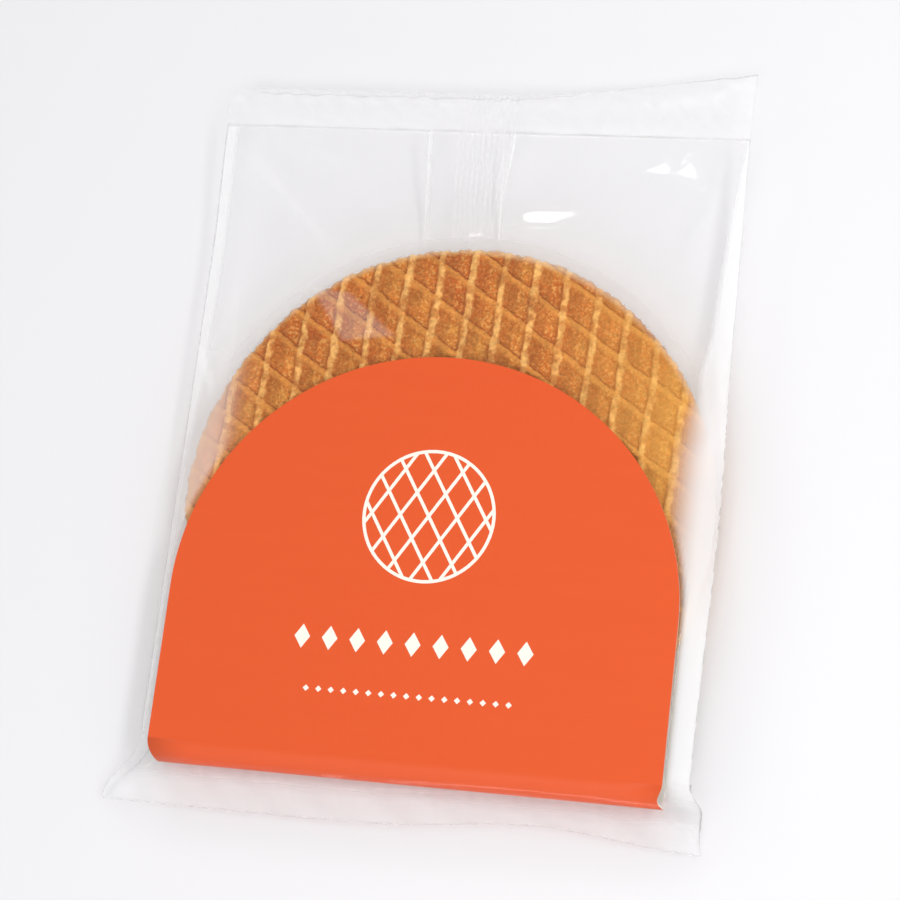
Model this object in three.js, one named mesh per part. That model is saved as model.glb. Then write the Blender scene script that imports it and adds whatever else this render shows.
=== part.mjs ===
// One caramel wafer sealed in a clear film bag, with a card folded round its bottom edge.
// The wafer and the card lie tight inside the film, so the pack is one closed body.
// Millimetres. The pack lies on its back: X runs across it, Y runs up it towards the
// flat end seal, Z comes out of its front. Y 0 is the bottom fold of the card, Z 0 is
// the surface that the pack lies on.

import * as THREE from 'three';

// What is inside the film: its outline is the union of a round wafer and an arched card.
const WAFER = { x: 2.85, y: 50.9, radius: 50 };
const CARD = { x: 0.35, halfWidth: 47.95, shoulder: 32.6 };

// The film tube round it.
const BAG = { left: -50.5, right: 52.5, back: 0.6, front: 8.9, edge: 0.7 };
const WAFER_BULGE = { out: 0.8, reach: 26 };
const HEADSPACE = { from: 99, to: 125.2 };
const TAPER_POWER = 1.6;

// The flat end seal at the top. Its free part curls back and down towards the left,
// and lies nearly straight at the right corner.
const TOP_SEAL = { length: 13.8, height: 6.7, thickness: 0.7 };
const CURL = { rise: 33, turn: 133, droop: 14, from: 5, power: 1.25 };

// The bottom end: the film slopes down to a fold, and its seal is folded under the pack.
const NOSE = { from: 1.2, reach: 7.4, height: 1.3 };
const NOSE_DIP = { x: 25, width: 20, depth: 2.7 };
const FLAP = { to: 5.4, edge: 0.2 };
const LEFT_EAR = { out: 7, from: 3.5 };
const RIGHT_EAR = { out: 2.5, from: 4.5 };
const EAR_REACH = 16;

// The lengthwise seal of the tube, folded flat against the back.
const BACK_STRIP = { left: -11.1, right: 4.5, edge: 0.2 };

// Steps of the surface grid.
const EDGE_STEPS = [0, 0.2, 0.6, 1.3, 2.2, 3.4, 5.2, 8, 12];
const INNER_STEP = 5.2;
const NOSE_ROWS = 7;
const BODY_STEP = 5.4;
const HEADSPACE_ROWS = 8;
const SEAL_ROWS = 9;

const FILM_COLOUR = '#eceef0';

function clamp01(value) {
  return Math.min(1, Math.max(0, value));
}

function ease(value) {
  const t = clamp01(value);
  return t * t * (3 - 2 * t);
}

function mix(a, b, share) {
  return a + (b - a) * share;
}

// Lowest Y of the pack at a place across it: the bottom fold is higher right of the middle.
function bottomEdge(x) {
  return -NOSE.reach + NOSE_DIP.depth * Math.exp(-(((x - NOSE_DIP.x) / NOSE_DIP.width) ** 2));
}

// The side creases of the film. They run nearly straight, pushed out a little by the
// wafer at the right, and flare into small ears at the bottom corners.
function sideEdges(y) {
  const leftEar = ease((LEFT_EAR.from - y) / (LEFT_EAR.from + NOSE.reach));
  const rightEar = ease((RIGHT_EAR.from - y) / RIGHT_EAR.from);
  const bulge = Math.exp(-(((y - WAFER.y) / WAFER_BULGE.reach) ** 2));
  return {
    left: BAG.left - LEFT_EAR.out * leftEar,
    right: BAG.right + WAFER_BULGE.out * bulge + RIGHT_EAR.out * rightEar,
  };
}

// Distance from a point to what is inside the film, zero over it.
function gapToContents(x, y) {
  const across = x - CARD.x;
  const beside = Math.max(0, Math.abs(across) - CARD.halfWidth);
  const below = Math.max(0, -y, y - CARD.shoulder);
  const toCard = Math.hypot(beside, below);
  const toArch = Math.hypot(across, y - CARD.shoulder) - CARD.halfWidth;
  const toWafer = Math.hypot(x - WAFER.x, y - WAFER.y) - WAFER.radius;
  return Math.max(0, Math.min(toCard, toArch, toWafer));
}

// Share of the full thickness at a point: 1 over the contents, 0 at the film's edge.
function fullness(x, y) {
  const sides = sideEdges(y);
  const gap = gapToContents(x, y);
  const room = Math.max(0, Math.min(x - sides.left, sides.right - x, HEADSPACE.to - y));
  if (gap + room === 0) {
    return 0;
  }
  return room === 0 ? 0 : 1 - (gap / (gap + room)) ** TAPER_POWER;
}

// How far the back stands proud: the folded lengthwise seal and the flap folded under.
function proudOfBack(x, y) {
  const onStrip = ease((x - BACK_STRIP.left) / BACK_STRIP.edge) * ease((BACK_STRIP.right - x) / BACK_STRIP.edge);
  const onFlap = ease((FLAP.to - y) / FLAP.edge);
  return BAG.back * Math.max(onStrip, onFlap);
}

// The front and back heights of the film over the body of the bag.
function bodyHeights(x, y) {
  const lift = ease((y - HEADSPACE.from) / (HEADSPACE.to - HEADSPACE.from));
  const middle = mix((BAG.front + BAG.back) / 2, TOP_SEAL.height, lift);
  const half = mix(BAG.edge, BAG.front - BAG.back, fullness(x, y)) / 2;
  const low = bottomEdge(x);
  const rise = Math.sin((clamp01((y - low) / (NOSE.from - low)) * Math.PI) / 2);
  const front = mix(NOSE.height, middle + half, rise);
  const back = mix(BAG.back, middle - half, rise);
  return { front, back: back - proudOfBack(x, y) };
}

// How strongly the top seal curls at a place across it, 1 at the left, 0 at the right.
function curlShare(x) {
  return 1 - clamp01((x - CURL.from) / (BAG.right - CURL.from)) ** CURL.power;
}

// A point of the top seal at a distance from its root, with its two faces. The seal
// leaves the bag rising a little and turns evenly downwards along its length.
function sealFaces(x, along) {
  const share = curlShare(x);
  const rise = THREE.MathUtils.degToRad(CURL.rise * share);
  const turn = THREE.MathUtils.degToRad(mix(CURL.droop, CURL.turn, share));
  const radius = TOP_SEAL.length / turn;
  const angle = rise - (turn * along) / TOP_SEAL.length;
  const y = HEADSPACE.to + radius * (Math.sin(rise) - Math.sin(angle));
  const z = TOP_SEAL.height + radius * (Math.cos(angle) - Math.cos(rise));
  const outer = TOP_SEAL.thickness / 2;
  const inner = outer + proudOfBack(x, y);
  return {
    front: [x, y - outer * Math.sin(angle), z + outer * Math.cos(angle)],
    back: [x, y + inner * Math.sin(angle), z - inner * Math.cos(angle)],
  };
}

// Places across the bag: close together at the sides and at the strip's edges.
function acrossPlaces() {
  const places = new Set();
  for (const step of EDGE_STEPS) {
    places.add(BAG.left + step);
    places.add(BAG.right - step);
  }
  for (const edge of [BACK_STRIP.left, BACK_STRIP.right]) {
    places.add(edge);
    places.add(edge + Math.sign(BACK_STRIP.right - edge - BACK_STRIP.edge) * BACK_STRIP.edge);
  }
  const last = EDGE_STEPS[EDGE_STEPS.length - 1];
  const inner = [BAG.left + last, BACK_STRIP.left, BACK_STRIP.right, BAG.right - last];
  for (let span = 0; span < inner.length - 1; span += 1) {
    const count = Math.ceil((inner[span + 1] - inner[span]) / INNER_STEP);
    for (let step = 1; step < count; step += 1) {
      places.add(mix(inner[span], inner[span + 1], step / count));
    }
  }
  return [...places].sort((a, b) => a - b);
}

// Moves a place across the bag out with the side creases, leaving the middle where it is.
function warpAcross(place, y) {
  const sides = sideEdges(y);
  const nearLeft = clamp01(1 - (place - BAG.left) / EAR_REACH) ** 2;
  const nearRight = clamp01(1 - (BAG.right - place) / EAR_REACH) ** 2;
  return place + (sides.left - BAG.left) * nearLeft + (sides.right - BAG.right) * nearRight;
}

// One row of points across the front and the back, at a height up the bag. Rows below
// NOSE.from are squeezed to follow the bottom fold.
function bodyRow(places, y) {
  const front = [];
  const back = [];
  for (const place of places) {
    const squeeze = clamp01((NOSE.from - y) / (NOSE.from + NOSE.reach));
    const atX = warpAcross(place, y);
    const atY = y < NOSE.from ? mix(NOSE.from, bottomEdge(atX), squeeze) : y;
    const heights = bodyHeights(atX, atY);
    front.push([atX, atY, heights.front]);
    back.push([atX, atY, heights.back]);
  }
  return { front, back };
}

function sealRow(places, along) {
  const faces = places.map((place) => sealFaces(place, along));
  return { front: faces.map((face) => face.front), back: faces.map((face) => face.back) };
}

function surfaceRows(places) {
  const rows = [];
  for (let step = 0; step < NOSE_ROWS; step += 1) {
    rows.push(bodyRow(places, mix(-NOSE.reach, NOSE.from, step / NOSE_ROWS)));
  }
  const bodyRows = Math.round((HEADSPACE.from - NOSE.from) / BODY_STEP);
  for (let step = 0; step < bodyRows; step += 1) {
    rows.push(bodyRow(places, mix(NOSE.from, HEADSPACE.from, step / bodyRows)));
  }
  rows.push(bodyRow(places, FLAP.to - FLAP.edge), bodyRow(places, FLAP.to));
  for (let step = 0; step < HEADSPACE_ROWS; step += 1) {
    rows.push(bodyRow(places, mix(HEADSPACE.from, HEADSPACE.to, step / HEADSPACE_ROWS)));
  }
  rows.sort((a, b) => a.front[0][1] - b.front[0][1]);
  for (let step = 0; step <= SEAL_ROWS; step += 1) {
    rows.push(sealRow(places, (TOP_SEAL.length * step) / SEAL_ROWS));
  }
  return rows;
}

// Closes the front and back faces into one body: both grids, and a band along the rim.
function closedSheet(rows) {
  const across = rows[0].front.length;
  const faceSize = rows.length * across;
  const points = [...rows.flatMap((row) => row.front), ...rows.flatMap((row) => row.back)];
  const triangles = [];
  const quad = (a, b, c, d) => triangles.push(a, b, c, a, c, d);
  for (let row = 0; row < rows.length - 1; row += 1) {
    for (let column = 0; column < across - 1; column += 1) {
      const corner = row * across + column;
      const above = corner + across;
      quad(corner, corner + 1, above + 1, above);
      quad(faceSize + corner, faceSize + above, faceSize + above + 1, faceSize + corner + 1);
    }
  }
  const rim = [];
  for (let column = 0; column < across - 1; column += 1) {
    rim.push(column);
  }
  for (let row = 0; row < rows.length - 1; row += 1) {
    rim.push(row * across + across - 1);
  }
  for (let column = across - 1; column > 0; column -= 1) {
    rim.push((rows.length - 1) * across + column);
  }
  for (let row = rows.length - 1; row > 0; row -= 1) {
    rim.push(row * across);
  }
  rim.forEach((here, index) => {
    const next = rim[(index + 1) % rim.length];
    quad(here, faceSize + here, faceSize + next, next);
  });
  const geometry = new THREE.BufferGeometry();
  geometry.setAttribute('position', new THREE.Float32BufferAttribute(points.flat(), 3));
  geometry.setIndex(triangles);
  geometry.computeVertexNormals();
  return geometry;
}

function sealedBag() {
  const geometry = closedSheet(surfaceRows(acrossPlaces()));
  const film = new THREE.MeshStandardMaterial({ color: FILM_COLOUR, roughness: 0.15, metalness: 0 });
  const mesh = new THREE.Mesh(geometry, film);
  mesh.name = 'sealed_bag';
  return mesh;
}

// The origin is under the middle of the pack, on the surface that it lies on.
function pack() {
  const bag = sealedBag();
  bag.geometry.computeBoundingBox();
  const box = bag.geometry.boundingBox;
  bag.position.set(-(box.min.x + box.max.x) / 2, -(box.min.y + box.max.y) / 2, -box.min.z);
  const group = new THREE.Group();
  group.add(bag);
  return group;
}

export default pack();
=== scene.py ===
"""A caramel waffle and a folded card sealed in a clear film pack, lying on its back.

Sizes are millimetres, measured on the pack: X 0 is near the middle of the card, Y 0 is the
card's bottom fold, Z 0 is the surface that the pack lies on. place() turns them into the
frame's metres.
"""

import math

import bmesh
import bpy
import numpy as np
from mathutils import Matrix, Vector


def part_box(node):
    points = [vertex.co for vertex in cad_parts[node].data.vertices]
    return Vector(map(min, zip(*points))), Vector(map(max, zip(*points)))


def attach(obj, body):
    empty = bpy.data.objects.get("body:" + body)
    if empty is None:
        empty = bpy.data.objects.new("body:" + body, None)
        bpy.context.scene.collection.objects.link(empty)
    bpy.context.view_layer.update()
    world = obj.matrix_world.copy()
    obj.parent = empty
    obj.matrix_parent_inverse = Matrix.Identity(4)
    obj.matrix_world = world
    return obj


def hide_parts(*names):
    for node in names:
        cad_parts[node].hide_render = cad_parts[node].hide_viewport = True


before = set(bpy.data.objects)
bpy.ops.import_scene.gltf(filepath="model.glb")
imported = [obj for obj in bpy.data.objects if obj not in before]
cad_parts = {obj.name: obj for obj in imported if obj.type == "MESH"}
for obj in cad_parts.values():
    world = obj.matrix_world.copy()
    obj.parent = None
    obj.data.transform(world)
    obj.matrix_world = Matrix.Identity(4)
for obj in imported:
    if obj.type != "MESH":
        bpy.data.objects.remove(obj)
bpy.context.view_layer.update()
MM = 0.001
SEED = 7
# Metres within which points of a sheet are taken as one
COINCIDE = 1e-7
MATH, VECTOR_MATH = "ShaderNodeMath", "ShaderNodeVectorMath"
MAP_RANGE, NOISE = "ShaderNodeMapRange", "ShaderNodeTexNoise"

# Contents
WAFER = {"x": 2.85, "y": 50.9, "radius": 50.0}
# The baked waffle reaches a little further up and left than the round that the film is fitted to
BAKED = {"x": 2.55, "y": 51.3, "radius": 50.35}
LAYERS = {"lower": (1.15, 3.4), "caramel": (3.3, 5.0), "upper": (4.9, 7.3)}
CARD = {"x": 0.35, "half_width": 47.95, "shoulder": 32.6, "arch": 46.9, "front": 8.45, "back": 0.7}
CARD_THICKNESS = 0.4
CARD_GRID = {"arch": 97, "fold": 25, "across": 13}
# Plain print on the card: a ring with a lattice, and rows of lozenges
INK_THICKNESS = 0.04
EMBLEM = {"y": 49.0, "radius": 12.6, "line": 0.62, "spacing": 4.6}
PRINT_ROWS = {
    "print_lozenges": {"count": 9, "width": 42, "y": 25, "half_width": 1.5, "stretch": 1.5},
    "print_dots": {"count": 17, "width": 38, "y": 15.5, "half_width": 0.6, "stretch": 1.0},
}

# The baked diamond pattern: two families of ridges, nearly upright and falling to the right.
# The lean is how many degrees the line across the ridges is turned from X. The profile is in
# shares of the pitch: where the ridge's flank starts and where its top does, on the low side,
# and where its top and its flank end on the high side.
RIDGES = {
    "Upright": {"lean": -2.4, "pitch": 6.17, "offset": -1.37, "profile": (-0.18, -0.07, 0.07, 0.16)},
    "Falling": {"lean": 56.5, "pitch": 5.97, "offset": 85.9, "profile": (-0.3, -0.06, 0.05, 0.1)},
}
PROFILE = (" low foot", " low top", " high top", " high foot")
# Height and wander in millimetres. The falling ridges are lower. The top is the level of the
# wafer's own face, in ridge heights.
RIDGE = {"height": 0.8, "wander": 1.1, "falling_share": 0.8, "top": 1.35}
# Scale and detail of the noises that make the ridges wander, swell and crumble
RELIEF_NOISES = ((110.0, 1.0), (210.0, 2.0), (750.0, 2.0))
# The pale band on each family's ridge tops, partly a paler bake and partly a painted highlight, in the same
# shares
PALE_AND_PAINTED_LIT_TOPS = {"upright": (-0.15, -0.06, 0.06, 0.15), "falling": (-0.22, 0.0, 0.05, 0.085)}
# Painted shade: a dark line along the high side of the falling ridges, where shade falls
PAINTED_CREASE_SHADE = (0.075, 0.1, 0.105, 0.16)
# Bumps of the baked edge: how many go round it, and their height
RIM_BUMPS = ((3, 0.15), (7, 0.12), (23, 0.08), (51, 0.12), (97, 0.1), (163, 0.08), (229, 0.06))
WAFER_CELLS = {"upper": 305, "lower": 220}
# Loops down a wafer's side: share of the way to its inner face, and how far they are pulled in
WAFER_SIDE = ((0.35, 0.0), (0.7, 0.0), (1.0, 0.35))
# The caramel's edge from below: how far it lies inside its widest line, and share of the height
CARAMEL_EDGE = ((0.6, 0.0), (0.1, 0.25), (0.0, 0.5), (0.1, 0.75), (0.6, 1.0))

# Noises in the baked skin, with as many of these inputs as differ from the node's own
NOISE_INPUTS = ("Scale", "Detail", "Roughness", "Distortion")
SKIN_NOISES = {
    "stray": (620.0, 2.0),
    "blotch": (75.0, 3.0),
    "web": (1900.0, 1.0, 0.5, 0.5),
    "worn": (520.0, 3.0),
    "crumb": (1500.0, 3.0, 0.6),
    "browning": (160.0, 2.0),
}
# Shares in the baked skin: the value that each follows, where it starts and ends on that value,
# and the share at its start and end if that isn't 0 and 1. Upright and falling are places beside
# a ridge, in pitches.
SKIN_SHARES = {
    "paler": ("blotch", 0.42, 0.66, 0.0, 0.85),
    "strand": ("web", 0.47, 0.66, 0.0, 0.75),
    "right_of_ridge": ("upright", 0.42, 0.1),
    # Painted shade on the left of the upright ridges
    "painted_shade_left_of_ridge": ("upright", -0.28, -0.14, 0.0, 0.55),
    "below_ridge": ("falling", -0.5, -0.15),
    "golden": ("worn", 0.4, 0.58, 0.2, 1.0),
    "grain": ("crumb", 0.3, 0.7, 0.73, 1.18),
    "browner": ("browning", 0.35, 0.65, 0.9, 1.1),
    "clean": ("speck", 0.03, 0.06),
    # The paler golden rim is partly a painted highlight
    "rim": ("from_middle", 48.9 * MM, 49.9 * MM, 0.0, 0.8),
}
# Painted light on the wafer's right and left, as paler skin: colour, and where it starts and ends from the
# middle
PAINTED_LIGHT_SIDES = (("#f1b451", 12, 50), ("#f0b888", -38, -50))

# Film bag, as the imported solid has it
BAG = {"left": -50.5, "right": 52.5, "back": 0.6, "front": 8.9}
WAFER_BULGE = {"out": 0.8, "reach": 26.0}
HEADSPACE = {"from": 99.0, "to": 125.2}
TAPER_POWER = 1.6
TOP_SEAL = {"length": 13.8, "height": 6.7}
CURL = {"rise": 33.0, "turn": 133.0, "droop": 14.0, "from": 5.0, "power": 1.25}
NOSE = {"from": 1.2, "reach": 7.4, "height": 0.95}
NOSE_DIP = {"x": 25.0, "width": 20.0, "depth": 2.7}
LEFT_EAR = {"out": 7.0, "from": 3.5}
RIGHT_EAR = {"out": 2.5, "from": 4.5}
EAR_REACH = 16.0
BACK_STRIP = {"left": -9.7, "right": 5.8, "ribs_from": -4.2, "rib_pitch": 1.0, "flare": 2.0}
FLAP_TO = 5.4
FILM_THICKNESS = {"seal": 0.14, "strip": 0.1, "flap": 0.08}

# Millimetres that the film sinks beside the card and at its sides, that it is crumpled over the
# card, near the seal, elsewhere and on the back, and that its end is pleated
SLACK = {
    "sink": 0.8, "side_sink": 0.4, "over_card": 0.19, "card_sink": 0.16, "near_seal": 0.3,
    "elsewhere": 0.1, "back": 0.25, "pleats": 0.45, "fine_pleats": 0.25,
}
# The top seal's ripple where it lies straight, what curling adds, and the wave of its edge
RIPPLE = {"straight": 0.06, "curled": 0.55, "edge": 0.3, "pitch": 4.6}
# Long soft folds of the front and back film: start, end, height and half width
FRONT_FOLDS = (
    ((-51, 126), (-22, 96), 0.3, 4.5),
    ((52, 125), (34, 112), 0.25, 3.0),
    ((-33, 75.2), (-23, 82), 0.22, 0.35),
)
BACK_FOLDS = (
    ((-50, 124), (-30, 99), -0.5, 2.0),
    ((52, 124), (37, 99), -0.5, 2.0),
    ((-24, 124), (-20, 104), -0.3, 1.6),
    ((24, 123), (20, 105), -0.3, 1.6),
)
# Flat facets that stretched film makes: outline, and slope along X and along Y
FACETS = (
    (((10.2, 107.4), (10.8, 109.0), (13.0, 109.8), (20.9, 110.2), (21.7, 108.6), (17.6, 106.3),
      (12.2, 105.9)), (0.006, -0.369)),
    (((7.2, 105.3), (7.4, 106.3), (10.5, 107.2), (10.3, 106.0)), (0.006, -0.372)),
    (((1.0, 102.2), (0.6, 104.4), (3.6, 105.4), (5.0, 104.0)), (-0.021, -0.378)),
    (((31.6, 117.7), (37.4, 121.2), (38.9, 116.9)), (0.055, -0.344)),
    (((38.6, 117.6), (42.0, 122.0), (44.6, 115.4)), (0.055, -0.344)),
    (((-16.8, 83.0), (-17.0, 84.6), (-14.6, 84.4), (-14.8, 83.2)), (-0.06, -0.41)),
)
# Left border of the painted reflection, drawn as milky film, that leans over the right side: heights up the
# bag, and X there
PAINTED_RIGHT_GLARE_BORDER = ((0, 64, 70, 76, 88, 99, 125), (43.4, 43.4, 44.4, 46.4, 48.2, 48.6, 51.4))
# Milky streaks where the headspace film is creased on its way to the corners, partly a painted sheen along
# those creases
CREASE_STREAKS_AND_SHEEN = (
    ((-50, 124), (-22, 97), 0.14, 1.3),
    ((-49, 125), (-14, 113), 0.06, 2.2),
    ((51, 124), (42, 99), 0.12, 1.6),
    ((36, 124.5), (45, 112), 0.06, 1.5),
)
# A painted reflection: a pale patch over the wafer, drawn as milky film
PAINTED_GLINT_PATCH = ((-27.4, 91.6), (-20.8, 91.0), (-11.5, 83.4), (-20.5, 82.2))
# How milky the film is, from 0 to 1. Where it is welded or ribbed it is milky film; the side veils and bands,
# the glint patch and the strip's edges are painted reflections, the film beside the wafer is painted light
# over its shade, and the bunched end is milky film with painted light over its shade
MILK = {
    "clear": 0.01, "painted_right_glare": 0.86, "painted_right_band_glare": 0.62, "painted_left_glare": 0.33, "painted_left_band_glare": 0.5,
    "painted_light_beside_wafer": 0.28, "painted_glint_patch": 0.12, "bunched_end_and_painted_light": 0.45, "seal": 0.1, "weld": 0.02,
    "rib": 0.1, "painted_strip_edge_sheen": 0.5,
}

# Camera of the photographed view. Its place, lens and sensor are millimetres, its clip is metres.
CAMERA = {
    "place": (116.14, -46.31, 442.76),
    "right": (0.96754, 0.1194, -0.22273),
    "down": (0.06018, -0.96485, -0.25582),
    "forward": (-0.24545, 0.23411, -0.94072),
    "lens": 100.0, "sensor": 36.0, "clip": (0.01, 50.0),
}

# Share of light that film mirrors when it is seen square on, its roughness and its ripple. The
# share is the same from both sides, unlike a Fresnel node's, which takes the inner side for the
# end of a block.
FILM_FINISH = {"Clear film": (0.016, 0.04, 0.015), "Welded film": (0.005, 0.2, 0.15)}
# What the film mirrors more when it is seen from the side
FILM_EDGE_SHINE = 0.5
# Colour, colour of its streaks, and roughness
CARTON_FINISH = {
    "Orange coated carton": ("#e45722", "#e65b26", 0.45),
    "Bare board edge": ("#e6ded2", "#f0e9df", 0.8),
    "Cream print": ("#fff4e6", "#fff8ee", 0.45),
}
FLOOR = {"reach": 6000.0, "colour": "#ecebed"}

# Where the room is dark, as a direction from the pack, and from how many degrees off it to where
DARK_OVERHEAD = {"towards": (-0.25, 0.22, 0.94), "inner": 16.0, "outer": 34.0}
ROOM_RADIANCE = {"walls": 0.635, "overhead": 0.15}
# Lamps round the pack: place, width and length in Y, and radiance. They face AIM.
AIM = (0, 65, 0)
LAMPS = {
    "right_softbox": ((275, 70, 350), (68, 384), 6.8),
    "left_softbox": ((-850, 290, 470), (300, 1200), 1.0),
    "front_softbox": ((60, -330, 620), (490, 210), 4.2),
    "low_front_softbox": ((60, -800, 260), (900, 200), 2.2),
    "back_softbox": ((60, 820, 520), (900, 260), 1.6),
    "top_lamp": ((-210, 960, 500), (125, 125), 14.0),
}
# Light crosses up to a dozen film faces on its way in and out
FILM_CROSSINGS = 32

BAG_LOW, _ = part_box("sealed_bag")
SHIFT = Vector((
    BAG_LOW.x / MM - (BAG["left"] - LEFT_EAR["out"]),
    BAG_LOW.y / MM + NOSE["reach"],
    BAG_LOW.z / MM,
))


def place(points):
    """Pack millimetres to metres in the frame."""
    return (np.asarray(points, float) + np.array(SHIFT)) * MM


def linear(hex_colour):
    """sRGB hex to linear RGBA."""
    channels = [int(hex_colour[i:i + 2], 16) / 255 for i in (1, 3, 5)]
    return tuple(c / 12.92 if c <= 0.04045 else ((c + 0.055) / 1.055) ** 2.4 for c in channels) + (1.0,)


def add_node(tree, kind, inputs=(), **settings):
    """Adds a node. Its inputs are listed in their order or by name, and each is a value, or the
    node or socket that feeds it."""
    node = tree.nodes.new(kind)
    for name, value in settings.items():
        setattr(node, name, value)
    for name, value in inputs.items() if isinstance(inputs, dict) else enumerate(inputs):
        if isinstance(value, bpy.types.Node):
            value = value.outputs[0]
        if isinstance(value, bpy.types.NodeSocket):
            tree.links.new(value, node.inputs[name])
        else:
            node.inputs[name].default_value = value
    return node


def ease(values):
    t = np.clip(values, 0, 1)
    return t * t * (3 - 2 * t)


def mix(a, b, share):
    return a + (b - a) * share


def mesh_piece(name, points, faces, materials, smooth=True, **attributes):
    """A mesh object in its place, from points in pack millimetres, with values at its points."""
    mesh = bpy.data.meshes.new(name)
    mesh.from_pydata(place(points).tolist(), [], faces)
    for material in materials:
        mesh.materials.append(material)
    for polygon in mesh.polygons:
        polygon.use_smooth = smooth
    for label, values in attributes.items():
        mesh.attributes.new(label, "FLOAT", "POINT").data.foreach_set("value", np.ravel(values))
    mesh.update()
    piece = bpy.data.objects.new(name, mesh)
    bpy.context.collection.objects.link(piece)
    return piece


def grid_faces(rows, columns, start=0, flip=False):
    """Quads of a grid whose points are listed row by row."""
    corner = (np.arange(rows - 1)[:, None] * columns + np.arange(columns - 1)[None, :]).ravel() + start
    quads = np.stack([corner, corner + 1, corner + columns + 1, corner + columns], 1)
    return (quads[:, ::-1] if flip else quads).tolist()


def ring_faces(rings, joined=False):
    """Quads between loops of point numbers, and from the last to the first if they are joined."""
    faces = []
    for below, above in zip(rings, rings[1:] + rings[:1] if joined else rings[1:]):
        faces += np.stack([below, np.roll(below, -1), np.roll(above, -1), above], 1).tolist()
    return faces


def closed_sheet(name, upper, lower, material, smooth=True, **attributes):
    """A thin closed shell from two grids of points, joined along their four sides. Each
    attribute has its values on the upper grid and on the lower one."""
    for side in (np.s_[0, :], np.s_[-1, :], np.s_[:, 0], np.s_[:, -1]):
        upper[side] = lower[side] = (upper[side] + lower[side]) / 2
    rows, columns = upper.shape[:2]
    points = np.concatenate([upper.reshape(-1, 3), lower.reshape(-1, 3)])
    faces = grid_faces(rows, columns) + grid_faces(rows, columns, rows * columns, flip=True)
    return merge_and_face_out(mesh_piece(name, points, faces, [material], smooth, **attributes))


def merge_and_face_out(piece):
    """Merges points that coincide, and turns the faces of the closed shell outwards."""
    bm = bmesh.new()
    bm.from_mesh(piece.data)
    bmesh.ops.remove_doubles(bm, verts=bm.verts, dist=COINCIDE)
    bmesh.ops.dissolve_degenerate(bm, edges=bm.edges, dist=COINCIDE)
    bmesh.ops.recalc_face_normals(bm, faces=bm.faces)
    bm.to_mesh(piece.data)
    bm.free()
    return piece


def node_modifier(piece, tree, values):
    """Runs a Geometry Nodes tree on a piece and keeps the result as its plain mesh."""
    modifier = piece.modifiers.new(tree.name, "NODES")
    modifier.node_group = tree
    for item in tree.interface.items_tree:
        if item.in_out == "INPUT" and item.name in values:
            modifier[item.identifier] = values[item.name]
    return keep_result(piece)


def keep_result(piece):
    """Applies what the piece's modifiers make, as a plain mesh."""
    graph = bpy.context.evaluated_depsgraph_get()
    result = bpy.data.meshes.new_from_object(
        piece.evaluated_get(graph), preserve_all_data_layers=True, depsgraph=graph)
    piece.modifiers.clear()
    old = piece.data
    piece.data = result
    bpy.data.meshes.remove(old)
    result.name = piece.name
    return piece


def new_tree(name, **inputs):
    """A Geometry Nodes tree and its inputs. They are named, and listed by their kind."""
    tree = bpy.data.node_groups.new(name, "GeometryNodeTree")
    for kind, labels in {"Geometry": ["Geometry"], **inputs, "Material": ["Material"]}.items():
        for label in labels:
            tree.interface.new_socket(label, in_out="INPUT", socket_type="NodeSocket" + kind)
    tree.interface.new_socket("Geometry", in_out="OUTPUT", socket_type="NodeSocketGeometry")
    return tree, add_node(tree, "NodeGroupInput").outputs


def lift_points(tree, geometry, lift):
    """Nodes that move points along Z."""
    offset = add_node(tree, "ShaderNodeCombineXYZ", {"Z": lift})
    return add_node(tree, "GeometryNodeSetPosition", {"Geometry": geometry, "Offset": offset})


def finish_tree(tree, geometry, given):
    """Ends a tree as every tree here ends: instances realized, material set."""
    real = add_node(tree, "GeometryNodeRealizeInstances", [geometry])
    dressed = add_node(tree, "GeometryNodeSetMaterial", {"Geometry": real, "Material": given["Material"]})
    add_node(tree, "NodeGroupOutput", {"Geometry": dressed})
    return tree


def chain(tree, value, *steps, kind=MATH):
    """Nodes one behind another. A step is an operation and the inputs that follow its first."""
    for operation, *others in steps:
        value = add_node(tree, kind, [value, *others], operation=operation)
    return value


def band(tree, value, low_foot, low_top, high_top, high_foot, blend="SMOOTHSTEP"):
    """Nodes that give 1 between two tops and 0 past their feet. A limit is a number or a socket."""
    rising, falling = (add_node(tree, MAP_RANGE, limits, interpolation_type=blend) for limits in (
        [value, low_foot, low_top], [value, high_top, high_foot, 1.0, 0.0]))
    return chain(tree, rising, ("MULTIPLY", falling))


def lay_colours(tree, under, layers):
    """Nodes that lay hex colours over a colour. The product of the factors that a layer lists
    behind its colour is its share."""
    for colour, share, *factors in layers:
        share = chain(tree, share, *(("MULTIPLY", factor) for factor in factors))
        under = add_node(tree, "ShaderNodeMixRGB", [share, under, linear(colour)])
    return under


def new_material(name):
    """A material, its empty node tree, and the place on a piece as a socket in it."""
    material = bpy.data.materials.new(name)
    material.use_nodes = True
    tree = material.node_tree
    tree.nodes.clear()
    return material, tree, add_node(tree, "ShaderNodeTexCoord").outputs["Object"]


def finish_material(material, surface):
    add_node(material.node_tree, "ShaderNodeOutputMaterial", {"Surface": surface})
    return material


def circle(x, y, radius, around, level):
    """Points at angles around a centre, at one height."""
    across, up = radius * np.cos(around), radius * np.sin(around)
    return np.stack([x + across, y + up, np.full_like(around, level)], 1)


# Film shape


def bottom_edge(x):
    """Lowest Y of the pack at a place across it."""
    return -NOSE["reach"] + NOSE_DIP["depth"] * np.exp(-(((x - NOSE_DIP["x"]) / NOSE_DIP["width"]) ** 2))


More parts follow.
